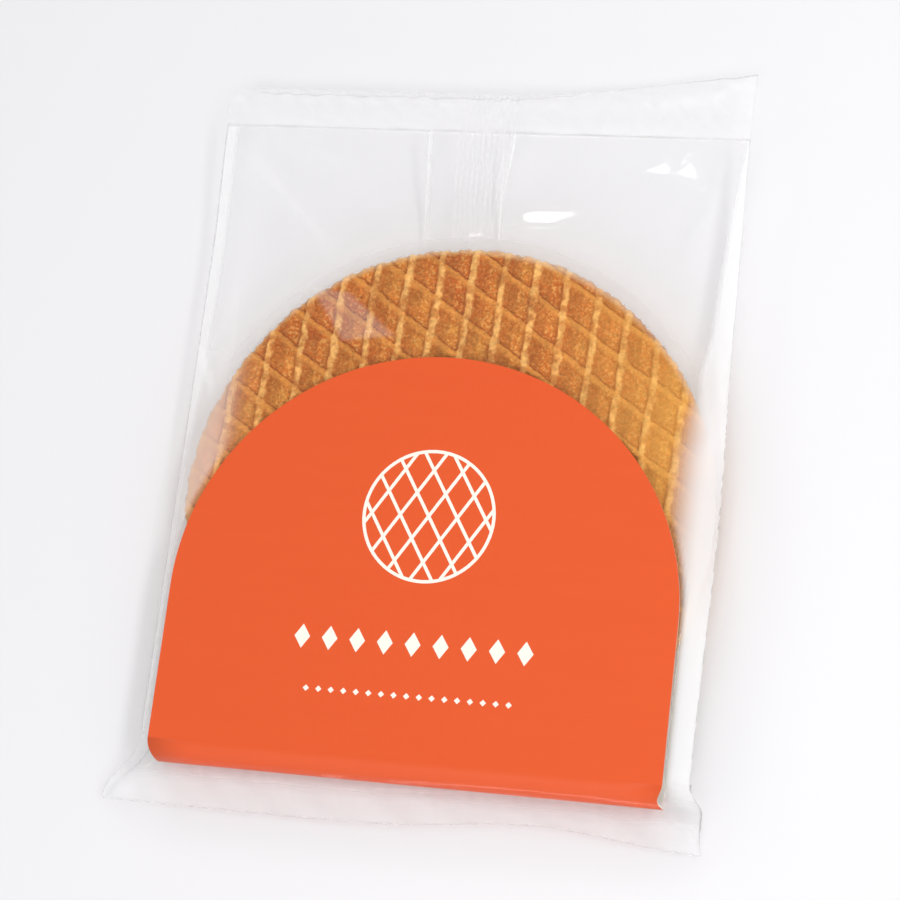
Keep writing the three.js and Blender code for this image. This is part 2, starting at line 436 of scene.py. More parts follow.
def side_edges(y):
    """X of the left and right side creases."""
    left_ear = ease((LEFT_EAR["from"] - y) / (LEFT_EAR["from"] + NOSE["reach"]))
    right_ear = ease((RIGHT_EAR["from"] - y) / RIGHT_EAR["from"])
    bulge = np.exp(-(((y - WAFER["y"]) / WAFER_BULGE["reach"]) ** 2))
    left = BAG["left"] - LEFT_EAR["out"] * left_ear
    right = BAG["right"] + WAFER_BULGE["out"] * bulge + RIGHT_EAR["out"] * right_ear
    return left, right


def gap_to_card(x, y):
    across = x - CARD["x"]
    beside = np.maximum(0, np.abs(across) - CARD["half_width"])
    below = np.maximum(0, np.maximum(-y, y - CARD["shoulder"]))
    to_sides = np.hypot(beside, below)
    to_arch = np.hypot(across, y - CARD["shoulder"]) - CARD["half_width"]
    return np.maximum(0, np.minimum(to_sides, to_arch))


def past_wafer(x, y):
    return np.hypot(x - WAFER["x"], y - WAFER["y"]) - WAFER["radius"]


def fullness(x, y):
    """Share of the full thickness: 1 over the contents, 0 at the film's edge."""
    left, right = side_edges(y)
    gap = np.minimum(gap_to_card(x, y), np.maximum(0, past_wafer(x, y)))
    room = np.maximum(0, np.minimum(np.minimum(x - left, right - x), HEADSPACE["to"] - y))
    whole = np.maximum(gap + room, 1e-9)
    share = 1 - (gap / whole) ** TAPER_POWER
    return np.where(room <= 1e-6, 0, share)


def beside_line(x, y, start, end):
    """How far points lie along a line and beside it, and how long the line is."""
    along_x, along_y = end[0] - start[0], end[1] - start[1]
    length = math.hypot(along_x, along_y)
    along = ((x - start[0]) * along_x + (y - start[1]) * along_y) / length
    across = ((x - start[0]) * along_y - (y - start[1]) * along_x) / length
    return along, across, length


def fold_lines(x, y, folds):
    """Height of long soft folds, each fading at both ends."""
    height = np.zeros_like(x)
    for start, end, rise, half_width in folds:
        along, across, length = beside_line(x, y, start, end)
        fade = ease(along / (0.3 * length)) * ease((length - along) / (0.3 * length))
        height += rise * fade / (1 + (across / half_width) ** 2)
    return height


def inside_outline(x, y, outline, softness):
    """1 inside a convex outline listed clockwise, 0 outside, with a soft border."""
    depth = np.full_like(x, 1e9)
    for start, end in zip(outline, outline[1:] + outline[:1]):
        depth = np.minimum(depth, beside_line(x, y, start, end)[1])
    return np.clip(depth / softness + 1.0, 0, 1)


def scallops(x, pitch, seed):
    """A row of small arches between sharp valleys, 0 to 1, of uneven width."""
    chance = np.random.default_rng(seed)
    drift = 0
    for length in (2.3, 5.1, 11.0):
        drift = drift + chance.uniform(0.2, 0.5) * np.sin(x / length + chance.uniform(0, 6.3))
    return np.abs(np.sin(math.pi * x / pitch + drift))


def waves(x, y, pitch, turn, seed):
    """Soft irregular waves between -1 and 1: a few sines with set random turns and phases."""
    chance = np.random.default_rng(seed)
    total = np.zeros_like(x)
    for _ in range(5):
        angle = math.radians(turn) + chance.uniform(-0.5, 0.5)
        length = pitch * chance.uniform(0.7, 1.4)
        along = x * math.cos(angle) + y * math.sin(angle)
        total += np.sin(along * 2 * math.pi / length + chance.uniform(0, 6.3))
    return total / 5


def slack_film(x, y):
    """Front and back heights of the film, with its folds and crumples."""
    lift = ease((y - HEADSPACE["from"]) / (HEADSPACE["to"] - HEADSPACE["from"]))
    middle = mix((BAG["front"] + BAG["back"]) / 2, TOP_SEAL["height"], lift)
    full = fullness(x, y)
    half = (BAG["front"] - BAG["back"]) * full / 2
    low = bottom_edge(x)
    rise = np.sin(np.clip((y - low) / (NOSE["from"] - low), 0, 1) * math.pi / 2)
    gap = gap_to_card(x, y)
    sink = SLACK["sink"] * ease(gap / 9) * ease(full * 2)
    sink += SLACK["side_sink"] * ease(gap / 3) * ease((np.abs(x - 1.2) - 43) / 8) * full
    free = ease(full * 1.6) * ease((HEADSPACE["to"] - y) / 3)
    off_card = ease(gap / 4)
    over_card = SLACK["over_card"] * waves(x, y, 12, 35, SEED + 16) - SLACK["card_sink"]
    near_seal = np.exp(-np.maximum(0, HEADSPACE["to"] - y) / 7)
    crumple = SLACK["near_seal"] * near_seal * waves(x, y, 6.5, 0, SEED)
    crumple += SLACK["elsewhere"] * off_card * waves(x, y, 22, 20, SEED + 1)
    creased = fold_lines(x, y, FRONT_FOLDS) * off_card
    front = middle + half - sink + free * (crumple + creased + (1 - off_card) * over_card)
    back_crumple = SLACK["back"] * near_seal * waves(x, y, 7.5, 10, SEED + 2)
    lifted = ease((y - HEADSPACE["from"] - 2) / 8)
    back = middle - half + free * lifted * (back_crumple + fold_lines(x, y, BACK_FOLDS))
    pleats = SLACK["pleats"] * waves(x, y * 0.4, 6.2, 8, SEED + 3)
    pleats += SLACK["fine_pleats"] * waves(x, y * 0.2, 1.9, 0, SEED + 14)
    front = mix(NOSE["height"], front, rise) + (1 - rise) * rise * pleats
    back = mix(NOSE["height"], back, rise)
    return front, np.maximum(back, BAG["back"] - 0.02)


def film_heights(x, y):
    """Front and back heights of the film, with its flat facets too."""
    front, back = slack_film(x, y)
    for outline, (slope_x, slope_y) in FACETS:
        middle = np.mean(outline, axis=0)
        level = slack_film(*middle[:, None])[0][0]
        facet = level + slope_x * (x - middle[0]) + slope_y * (y - middle[1])
        front = mix(front, facet, inside_outline(x, y, outline, 0.4))
    return front, back


def curl_share(x):
    """How strongly the top seal curls: 1 at the left, 0 at the right corner."""
    t = np.clip((x - CURL["from"]) / (BAG["right"] - CURL["from"]), 0, 1)
    return 1 - t ** CURL["power"]


def seal_curve(x, along):
    """Y, Z and slope angle of the top seal at a distance from its root."""
    share = curl_share(x)
    rise = np.radians(CURL["rise"] * share)
    turn = np.radians(mix(CURL["droop"], CURL["turn"], share))
    radius = TOP_SEAL["length"] / turn
    angle = rise - turn * along / TOP_SEAL["length"]
    y = HEADSPACE["to"] + radius * (np.sin(rise) - np.sin(angle))
    z = TOP_SEAL["height"] + radius * (np.cos(angle) - np.cos(rise))
    return y, z, angle


def across_places():
    """Places across the bag, closest together at its side creases."""
    offsets = [0.0]
    step = 0.1
    while offsets[-1] < 12:
        offsets.append(offsets[-1] + step)
        step = min(0.55, step * 1.2)
    offsets = np.array(offsets)
    inner = np.arange(BAG["left"] + offsets[-1] + 0.55, BAG["right"] - offsets[-1] - 0.25, 0.55)
    return np.concatenate([BAG["left"] + offsets, inner, BAG["right"] - offsets[::-1]])


def warp_across(places, y):
    """Moves places out with the side creases, leaving the middle where it is."""
    left, right = side_edges(y)
    near_left = np.clip(1 - (places - BAG["left"]) / EAR_REACH, 0, 1) ** 2
    near_right = np.clip(1 - (BAG["right"] - places) / EAR_REACH, 0, 1) ** 2
    return places + (left - BAG["left"]) * near_left + (right - BAG["right"]) * near_right


def film_grid():
    """X and Y of the film's grid, rows up the bag."""
    nose = np.linspace(-NOSE["reach"], NOSE["from"], 26)[:-1]
    over_card = np.arange(NOSE["from"], 66.0, 1.3)
    above_card = np.linspace(66.0, HEADSPACE["to"], 120)
    heights = np.concatenate([nose, over_card, above_card])
    places, levels = np.meshgrid(across_places(), heights)
    x = warp_across(places, levels)
    squeeze = np.clip((NOSE["from"] - levels) / (NOSE["from"] + NOSE["reach"]), 0, 1)
    y = np.where(levels < NOSE["from"], mix(NOSE["from"], bottom_edge(x), squeeze), levels)
    return x, y


def film_milk_and_painted_light(x, y):
    """How milky the front film is over its grid, with painted reflections and painted light in it."""
    left, _ = side_edges(y)
    off_card = ease(gap_to_card(x, y) / 1.5)
    above_veil = ease((y - 66) / 14)
    # Painted reflections of the side lamps, as milky veils and bands over the wafer's sides and along the
    # left crease
    painted_right_glare = mix(MILK["painted_right_glare"], MILK["painted_right_band_glare"], above_veil) * ease((y + 1) / 7)
    painted_right_glare *= ease((x - np.interp(y, *PAINTED_RIGHT_GLARE_BORDER)) / mix(7.5, 1.4, above_veil))
    painted_left_glare = MILK["painted_left_glare"] * ease((-38.0 - x) / 6) * ease((y - 30) / 12) * ease((90 - y) / 16)
    painted_left_band_glare = MILK["painted_left_band_glare"] * ease((x - left) / 0.4) * ease((2.9 - (x - left)) / 1.2)
    painted_left_band_glare *= ease((y - 2) / 6)
    # Painted light: the film beside the wafer is made milky where the floor under it lies in the wafer's
    # shade
    past_rim = past_wafer(x, y)
    fading = np.exp(-((np.maximum(0, past_rim) / 7) ** 2)) * ease((y - 50) / 20)
    painted_light_beside_wafer = MILK["painted_light_beside_wafer"] * ease((past_rim + 1.2) / 1.6) * fading
    painted_glares = np.maximum.reduce([painted_right_glare, painted_left_glare, painted_left_band_glare]) * off_card
    # Painted reflection of a lamp, as a pale patch
    painted_glint_patch = MILK["painted_glint_patch"] * inside_outline(x, y, PAINTED_GLINT_PATCH, 0.7)
    uneven = 0.85 + 0.15 * waves(x, y, 9.0, 50, SEED + 13)
    # The bunched end is milky, and its milk is raised further as painted light over the shade below the card
    bunched_end_and_painted_light = MILK["bunched_end_and_painted_light"] * ease((0.2 - y) / 4) * uneven
    # Streaks along creases: milkier film, partly a painted sheen
    creased = fold_lines(x, y, CREASE_STREAKS_AND_SHEEN)
    return MILK["clear"] + creased + painted_glint_patch + bunched_end_and_painted_light + np.maximum(painted_glares, painted_light_beside_wafer)


def make_film_bag(film):
    """Front and back sheets of the bag, joined along the side creases and both ends."""
    x, y = film_grid()
    front, back = film_heights(x, y)
    left, right = side_edges(y)
    to_side = np.minimum(x - left, right - x)
    # Painted shade: a dark line along each side crease, and dark streaks between the pleats at the bottom
    # end, carried by the "edge" attribute
    painted_crease_shade = (0.3 + 0.5 * ease((y - 1) / 8)) * np.exp(-((to_side / 0.16) ** 2))
    pleated = 0.5 + 0.5 * waves(x, y * 0.1, 2.6, 0, SEED + 12)
    painted_crease_shade = np.maximum(painted_crease_shade, 0.15 * pleated ** 2 * np.exp(-(((y + 1.2) / 1.3) ** 2)))
    milk = [film_milk_and_painted_light(x, y), np.full_like(x, MILK["clear"])]
    sheets = (np.stack([x, y, height], 2) for height in (front, back))
    return closed_sheet("film_bag", *sheets, film, milk=milk, edge=[painted_crease_shade, painted_crease_shade * 0])


def make_top_seal(film):
    """The flat end seal: two layers welded, curling back towards the left."""
    places, along = np.meshgrid(across_places(), np.linspace(0, TOP_SEAL["length"], 40))
    along *= 0.2 + 0.8 * ease((places - BAG["left"] + 1.0) / 5.0)
    y, z, angle = seal_curve(places, along)
    across, down = np.cos(angle), np.sin(angle)
    rippled = ease(along / 7) * (RIPPLE["straight"] + RIPPLE["curled"] * curl_share(places))
    uneven = 0.6 + 0.6 * waves(places, 0, 17, 0, SEED + 15)
    ripple = rippled * uneven * (scallops(places + along * 0.2, RIPPLE["pitch"], SEED + 4) - 0.6)
    edge_wave = RIPPLE["edge"] * (along / TOP_SEAL["length"]) ** 2 * waves(places, 0, 9, 0, SEED + 5)
    y = y + across * edge_wave - down * ripple
    z = np.maximum(z + down * edge_wave + across * ripple, 0.25)
    half = FILM_THICKNESS["seal"] / 2
    outer = np.stack([places, y - half * down, z + half * across], 2)
    inner = np.stack([places, y + half * down, z - half * across], 2)
    # Painted shade: a broken dark line along the seal's root and a dark line along its cut end, carried by
    # the "edge" attribute
    broken = ease(waves(places, 0, 14, 0, SEED + 10) * 3)
    painted_root_shade = np.exp(-((along / 0.25) ** 2)) * (0.02 + 0.22 * broken)
    painted_end_shade = np.exp(-(((along - TOP_SEAL["length"]) / 0.25) ** 2)) * 0.5
    painted_shade = 0.6 * np.maximum(painted_root_shade, painted_end_shade)
    bundle = np.exp(-(((places - 2.6) / 5.0) ** 4))
    cloudy = 0.025 * waves(places * 1.0, along * 2.0, 5, 35, SEED + 11)
    milk = MILK["seal"] + cloudy + 0.05 * bundle * np.sin(places * 5.7 - along)
    return closed_sheet("top_seal", outer, inner, film, milk=[milk, milk], edge=[painted_shade, painted_shade])


def rib_tree():
    """Crimp ribs: lifts points in waves across a band, along Z."""
    tree, given = new_tree("Crimp ribs", Float=("Rib pitch", "Rib height", "Band from", "Band to"))
    across = add_node(tree, "ShaderNodeSeparateXYZ", [add_node(tree, "GeometryNodeInputPosition")])
    past = chain(tree, across, ("GREATER_THAN", given["Band from"]))
    before = chain(tree, across, ("LESS_THAN", given["Band to"]))
    lift = chain(
        tree, across, ("SUBTRACT", given["Band from"]), ("DIVIDE", given["Rib pitch"]),
        ("MULTIPLY", 2 * math.pi), ("SINE",), ("MULTIPLY", past), ("MULTIPLY", before),
        ("MULTIPLY", given["Rib height"]))
    return finish_tree(tree, lift_points(tree, given["Geometry"], lift), given)


def make_back_strip(film):
    """The lengthwise seal, folded flat on the back and welded into both ends."""
    left, right, ribs_from = BACK_STRIP["left"], BACK_STRIP["right"], BACK_STRIP["ribs_from"]
    columns_x = np.concatenate([np.linspace(left, ribs_from, 26)[:-1], np.linspace(ribs_from, right, 80)])
    x, y = np.meshgrid(columns_x, np.arange(1.2, HEADSPACE["to"] + 0.01, 1.0))
    _, back = film_heights(x, y)
    under = np.maximum(back - 0.16, 0.22)
    flared = x + BACK_STRIP["flare"] * (x - left) / (right - left) * ease((y - 112) / 13)
    half = FILM_THICKNESS["strip"] / 2
    sheets = (np.stack([flared, y, under + side], 2) for side in (half, -half))
    on_rib = 0.5 + 0.5 * np.sin((x - ribs_from) * 2 * math.pi / BACK_STRIP["rib_pitch"])
    # Painted sheen: a milky highlight along both edges of the strip
    rim = np.exp(-((np.minimum(x - left, right - x) - 0.25) / 0.4) ** 2)
    milk = MILK["weld"] + np.where(x >= ribs_from, MILK["rib"] * on_rib, 0) + MILK["painted_strip_edge_sheen"] * rim
    strip = closed_sheet("back_strip", *sheets, film, smooth=False, milk=[milk, milk])
    return node_modifier(strip, rib_tree(), {
        "Rib pitch": BACK_STRIP["rib_pitch"] * MM,
        "Rib height": 0.09 * MM,
        "Band from": float(place([ribs_from, 0, 0])[0]),
        "Band to": float(place([right, 0, 0])[0]),
        "Material": film,
    })


def make_bottom_flap(film):
    """The bottom end seal, folded flat under the pack."""
    across = np.linspace(BAG["left"] + 0.3, BAG["right"] - 0.3, 150)
    places, share = np.meshgrid(across, np.linspace(0, 1, 22))
    places = warp_across(places, mix(-NOSE["reach"], FLAP_TO, share))
    edge = FLAP_TO + 0.4 * waves(places, 0, 12, 0, SEED + 6)
    y = mix(bottom_edge(places) + 0.15, edge, share)
    z = 0.2 + (NOSE["height"] - 0.2) * np.exp(-share * 14) + 0.08 * waves(places, y, 5, 0, SEED + 7) * share
    half = FILM_THICKNESS["flap"] / 2
    sheets = (np.stack([places, y, z + side], 2) for side in (half, -half))
    milk = np.full_like(places, MILK["weld"])
    return closed_sheet("bottom_flap", *sheets, film, milk=[milk, milk])


# Waffle


def rim_radius(angle, seed):
    """The baked edge wanders a little, with small bumps where the ridges meet it."""
    chance = np.random.default_rng(seed)
    radius = np.full_like(angle, BAKED["radius"] - 0.25)
    for count, height in RIM_BUMPS:
        radius += height * np.sin(count * angle + chance.uniform(0, 6.3))
    return radius


def make_wafer_blank(name, low, high, upwards, cells, material, seed):
    """A round wafer with a finely divided face for the pattern, a soft rim and a plain inner face."""
    side = np.linspace(-1, 1, cells)
    u, v = np.meshgrid(side, side)
    disc_x = u * np.sqrt(1 - v * v / 2)
    disc_y = v * np.sqrt(1 - u * u / 2)
    share = np.hypot(disc_x, disc_y)
    angle = np.arctan2(disc_y, disc_x)
    radius = share * rim_radius(angle, seed)
    outer, inner = (high, low) if upwards else (low, high)
    edge_drop = 0.55 * np.clip((share - 0.975) / 0.025, 0, 1) ** 2
    face = np.stack([
        BAKED["x"] + radius * np.cos(angle),
        BAKED["y"] + radius * np.sin(angle),
        outer - (1 if upwards else -1) * edge_drop,
    ], 2).reshape(-1, 3)
    index = np.arange(cells * cells).reshape(cells, cells)
    ring = np.concatenate([index[0, :-1], index[:-1, -1], index[-1, :0:-1], index[:0:-1, 0]])
    centre = np.array([[BAKED["x"], BAKED["y"], inner]])
    points, loops = [face], [ring]
    for level, pull in WAFER_SIDE:
        loop = face[ring].copy()
        loop[:, :2] += (centre[0, :2] - loop[:, :2]) * pull / BAKED["radius"]
        loop[:, 2] = mix(loop[:, 2], inner, level)
        points.append(loop)
        loops.append(np.arange(len(ring)) + cells * cells + len(ring) * (len(loops) - 1))
    points = np.concatenate(points + [centre])
    sides = [np.stack([upper, lower, np.roll(lower, -1), np.roll(upper, -1)], 1)
             for upper, lower in zip(loops, loops[1:])]
    fan = np.stack([loops[-1], np.full(len(ring), len(points) - 1), np.roll(loops[-1], -1)], 1)
    faces = grid_faces(cells, cells, flip=not upwards)
    for group in sides + [fan]:
        faces += (group if upwards else group[:, ::-1]).tolist()
    return mesh_piece(name, points, faces, [material])


def relief_tree():
    """The baked diamond pattern. It lifts ridges out of one face, and stores how many pitches
    each point lies along both families, from which the wafer's material finds its colours."""
    sizes = [family + label for family in RIDGES for label in (" offset", " pitch") + PROFILE]
    tree, given = new_tree(
        "Baked diamond pattern", Float=["Outward", "Ridge height", "Wander"] + sizes,
        Vector=[family + " normal" for family in RIDGES])
    position = add_node(tree, "GeometryNodeInputPosition")
    drift, swell, crumb = (
        add_node(tree, NOISE, {"Vector": position, **dict(zip(NOISE_INPUTS, sizes))})
        for sizes in RELIEF_NOISES)
    centred = chain(tree, drift.outputs["Color"], ("SUBTRACT", (0.5, 0.5, 0.5)), kind=VECTOR_MATH)
    wandering = add_node(tree, VECTOR_MATH, {0: centred, "Scale": given["Wander"]}, operation="SCALE")
    spot = chain(tree, position, ("ADD", wandering), kind=VECTOR_MATH)
    mesh = given["Geometry"]
    ridges = []
    for family in RIDGES:
        across = chain(tree, spot, ("DOT_PRODUCT", given[family + " normal"]), kind=VECTOR_MATH)
        pitches = chain(
            tree, across.outputs["Value"], ("SUBTRACT", given[family + " offset"]),
            ("DIVIDE", given[family + " pitch"]))
        mesh = add_node(tree, "GeometryNodeStoreNamedAttribute", {
            "Geometry": mesh, "Name": family.lower() + "_pitches", "Value": pitches,
        }, data_type="FLOAT", domain="POINT")
        beside = chain(tree, pitches, ("WRAP", 0.5, -0.5))
        ridges.append(band(tree, beside, *(given[family + label] for label in PROFILE)))
    lower = chain(tree, ridges[1], ("MULTIPLY", RIDGE["falling_share"]))
    uneven = chain(tree, swell, ("MULTIPLY_ADD", 0.9, 0.5))
    shaped = chain(tree, ridges[0], ("SMOOTH_MAX", lower, 0.15), ("MULTIPLY", uneven))
    facing = add_node(tree, "ShaderNodeSeparateXYZ", [add_node(tree, "GeometryNodeInputNormal")])
    outward = chain(tree, facing.outputs["Z"], ("MULTIPLY", given["Outward"]))
    on_face = add_node(tree, MAP_RANGE, [outward, 0.3, 0.7])
    lift = chain(
        tree, crumb, ("MULTIPLY_ADD", 0.5, shaped), ("SUBTRACT", RIDGE["top"]),
        ("MULTIPLY", given["Ridge height"]), ("MULTIPLY", given["Outward"]), ("MULTIPLY", on_face))
    return finish_tree(tree, lift_points(tree, mesh, lift), given)


def ridge_inputs(family):
    """A ridge family's inputs in the frame's metres."""
    ridges = RIDGES[family]
    lean = math.radians(ridges["lean"])
    normal = (math.cos(lean), math.sin(lean), 0.0)
    shifted = ridges["offset"] + SHIFT.x * normal[0] + SHIFT.y * normal[1]
    values = {
        family + " normal": normal,
        family + " offset": shifted * MM,
        family + " pitch": ridges["pitch"] * MM,
    }
    values.update({family + label: share for label, share in zip(PROFILE, ridges["profile"])})
    return values


def make_wafer(name, layer, upwards, tree, material, seed):
    blank = make_wafer_blank(name, *LAYERS[layer], upwards, WAFER_CELLS[layer], material, seed)
    return node_modifier(blank, tree, {
        "Outward": 1.0 if upwards else -1.0,
        "Ridge height": RIDGE["height"] * MM,
        "Wander": RIDGE["wander"] * MM,
        "Material": material,
        **ridge_inputs("Upright"),
        **ridge_inputs("Falling"),
    })


def make_caramel(material):
    """The caramel between the wafers, a little short of their rim and uneven along it."""
    around = np.linspace(0, 2 * math.pi, 361)[:-1]
    edge = BAKED["radius"] - 1.0 + 0.35 * waves(np.cos(around) * 30, np.sin(around) * 30, 12, 0, SEED + 8)
    points = np.concatenate([
        circle(BAKED["x"], BAKED["y"], edge - pull, around, mix(*LAYERS["caramel"], share))
        for pull, share in CARAMEL_EDGE])
    loops = list(np.arange(len(points)).reshape(len(CARAMEL_EDGE), -1))
    faces = ring_faces(loops) + [loops[0][::-1].tolist(), loops[-1].tolist()]
    return mesh_piece("caramel", points, faces, [material])


# Card


def make_card(outside, board):
    """The arched card: front panel, rounded bottom fold and back panel, from one sheet."""
    middle, half_width, across = CARD["x"], CARD["half_width"], CARD_GRID["across"]
    fold_radius = (CARD["front"] - CARD["back"]) / 2
    turn, share = np.meshgrid(
        np.linspace(0, math.pi, CARD_GRID["fold"]), np.linspace(0, 1, across), indexing="ij")
    left = middle - half_width + 1.3 * np.sin(turn) ** 2
    right = middle + half_width - 0.8 * np.sin(2 * turn) ** 2
    y = fold_radius * (1 - np.sin(turn))
    z = CARD["back"] + fold_radius * (1 + np.cos(turn))
    fold = np.stack([mix(left, right, share), y, z], 2).reshape(-1, 3)
    around = np.linspace(0, math.pi, CARD_GRID["arch"])
    arch_x, arch_y = middle + half_width * np.cos(around), CARD["shoulder"] + CARD["arch"] * np.sin(around)
    front, back = (
        np.stack([arch_x, arch_y, np.full_like(around, CARD[side])], 1) for side in ("front", "back"))
    front_arch = np.arange(len(front)) + len(fold)
    faces = grid_faces(CARD_GRID["fold"], across, flip=True)
    faces.append([*range(across), *front_arch.tolist()])
    faces.append([*range(len(fold) - across, len(fold)), *(front_arch + len(front)).tolist()][::-1])
    card = mesh_piece(
        "folded_card", np.concatenate([fold, front, back]), faces, [outside, board], smooth=False)
    for polygon in card.data.polygons:
        polygon.use_smooth = len(polygon.vertices) == 4
    solid = card.modifiers.new("Board thickness", "SOLIDIFY")
    solid.thickness = CARD_THICKNESS * MM
    solid.offset = -1.0
    solid.material_offset = solid.material_offset_rim = 1
    return keep_result(card)


def lozenge_row_tree():
    """A row of small printed lozenges."""
    tree, given = new_tree(
        "Row of lozenges", Int=["Count"], Vector=["Spacing", "Start", "Stretch"],
        Float=["Half width", "Ink thickness"])
    line = add_node(tree, "GeometryNodeMeshLine", {
        "Count": given["Count"], "Start Location": given["Start"], "Offset": given["Spacing"]}, mode="OFFSET")
    shape = add_node(tree, "GeometryNodeMeshCircle", {
        "Vertices": 4, "Radius": given["Half width"]}, fill_type="NGON")
    raised = add_node(tree, "GeometryNodeExtrudeMesh", {
        "Mesh": shape, "Offset Scale": given["Ink thickness"]})
    base = add_node(tree, "GeometryNodeFlipFaces", {"Mesh": shape})
    closed = add_node(tree, "GeometryNodeJoinGeometry")
    for part in (raised, base):
        tree.links.new(part.outputs[0], closed.inputs[0])
    merged = add_node(tree, "GeometryNodeMergeByDistance", {"Geometry": closed, "Distance": 1e-6})
    repeated = add_node(tree, "GeometryNodeInstanceOnPoints", {
        "Points": line, "Instance": merged, "Scale": given["Stretch"]})
    return finish_tree(tree, repeated, given)


def make_lozenge_row(name, tree, ink, count, width, y, half_width, stretch):
    first = place([CARD["x"] - width / 2, y, CARD["front"] - 0.01])
    blank = mesh_piece(name, np.zeros((0, 3)), [], [ink], smooth=False)
    return node_modifier(blank, tree, {
        "Count": count,
        "Spacing": (width / (count - 1) * MM, 0.0, 0.0),
        "Start": tuple(float(v) for v in first),
        "Half width": half_width * MM,
        "Stretch": (1.0, stretch, 1.0),
        "Ink thickness": INK_THICKNESS * MM,
        "Material": ink,
    })


def bar(points, faces, start, end, width, low, high):
    """Adds a flat straight bar with closed sides to a list of points and faces."""
    along = end - start
    side = np.array([-along[1], along[0]]) / np.hypot(*along) * width / 2
    corners = [start - side, end - side, end + side, start + side]
    below = np.arange(4) + len(points)
    above = below + 4
    points.extend([(*corner, level) for level in (low, high) for corner in corners])
    faces.extend([below[::-1].tolist(), above.tolist()] + ring_faces([below, above]))


def make_emblem(ink):
    """A plain printed ring filled with a diamond lattice."""
    centre = np.array([CARD["x"], EMBLEM["y"]])
    line = EMBLEM["line"]
    outer, inner = EMBLEM["radius"], EMBLEM["radius"] - line
    low, high = CARD["front"] - 0.01, CARD["front"] + 0.05
    around = np.linspace(0, 2 * math.pi, 121)[:-1]
    points = []
    for radius, level in ((outer, low), (outer, high), (inner, high), (inner, low)):
        points.extend(circle(*centre, radius, around, level).tolist())
    faces = ring_faces(list(np.arange(len(points)).reshape(4, -1)), joined=True)
    reach = outer - line / 2
    for lean, top in ((58, high - 0.02), (122, high - 0.01)):
        direction = np.array([math.cos(math.radians(lean)), math.sin(math.radians(lean))])
        normal = np.array([-direction[1], direction[0]])
        for away in np.arange(-2, 3) * EMBLEM["spacing"]:
            half = direction * math.sqrt(reach * reach - away * away)
            middle = centre + normal * away
            bar(points, faces, middle - half, middle + half, line, low, top)
    return mesh_piece("print_emblem", points, faces, [ink], smooth=False)


# Materials


def film_material(name, shine_square_on, roughness, ripple):
    """Clear oriented polypropylene film, thin and glossy: it lets nearly all light through
    and mirrors lamps at its folds. Where it is welded or bunched ("milk") it turns milky; on the
    front film the same attribute also carries painted reflections and painted light. The "edge"
    attribute is painted shade: it holds back some light at folds, cut edges and pleats."""
    material, tree, place_on = new_material(name)
    milk, painted_shade = (
        add_node(tree, "ShaderNodeAttribute", attribute_name=label).outputs["Fac"]
        for label in ("milk", "edge"))
    waviness = add_node(tree, NOISE, {"Vector": place_on, "Scale": 220.0})
    bump = add_node(tree, "ShaderNodeBump", {"Height": waviness, "Strength": ripple, "Distance": 0.0004})
    # Painted shade: where "edge" is set, the film passes only a grey share of the light
    painted_shade_tint = lay_colours(tree, (0.999, 0.999, 0.999, 1), [("#b9bbbd", painted_shade)])
    clear = add_node(tree, "ShaderNodeBsdfTransparent", {"Color": painted_shade_tint})
    shine = add_node(tree, "ShaderNodeBsdfGlossy", {
        "Color": (1, 1, 1, 1), "Roughness": roughness, "Normal": bump})
    slant = add_node(tree, "ShaderNodeLayerWeight", {"Blend": 0.5, "Normal": bump}).outputs["Facing"]
    mirrored = chain(
        tree, slant, ("POWER", 5.0), ("MULTIPLY_ADD", FILM_EDGE_SHINE, shine_square_on))
    white, through = (
        add_node(tree, "ShaderNodeBsdf" + way, {"Color": linear("#fbfbfc")})
        for way in ("Diffuse", "Translucent"))
    sheet = add_node(tree, "ShaderNodeMixShader", [mirrored, clear, shine])
    scattered = add_node(tree, "ShaderNodeMixShader", [0.15, white, through])
    milky = add_node(tree, "ShaderNodeMixShader", [milk, sheet, scattered])
    return finish_material(material, milky)


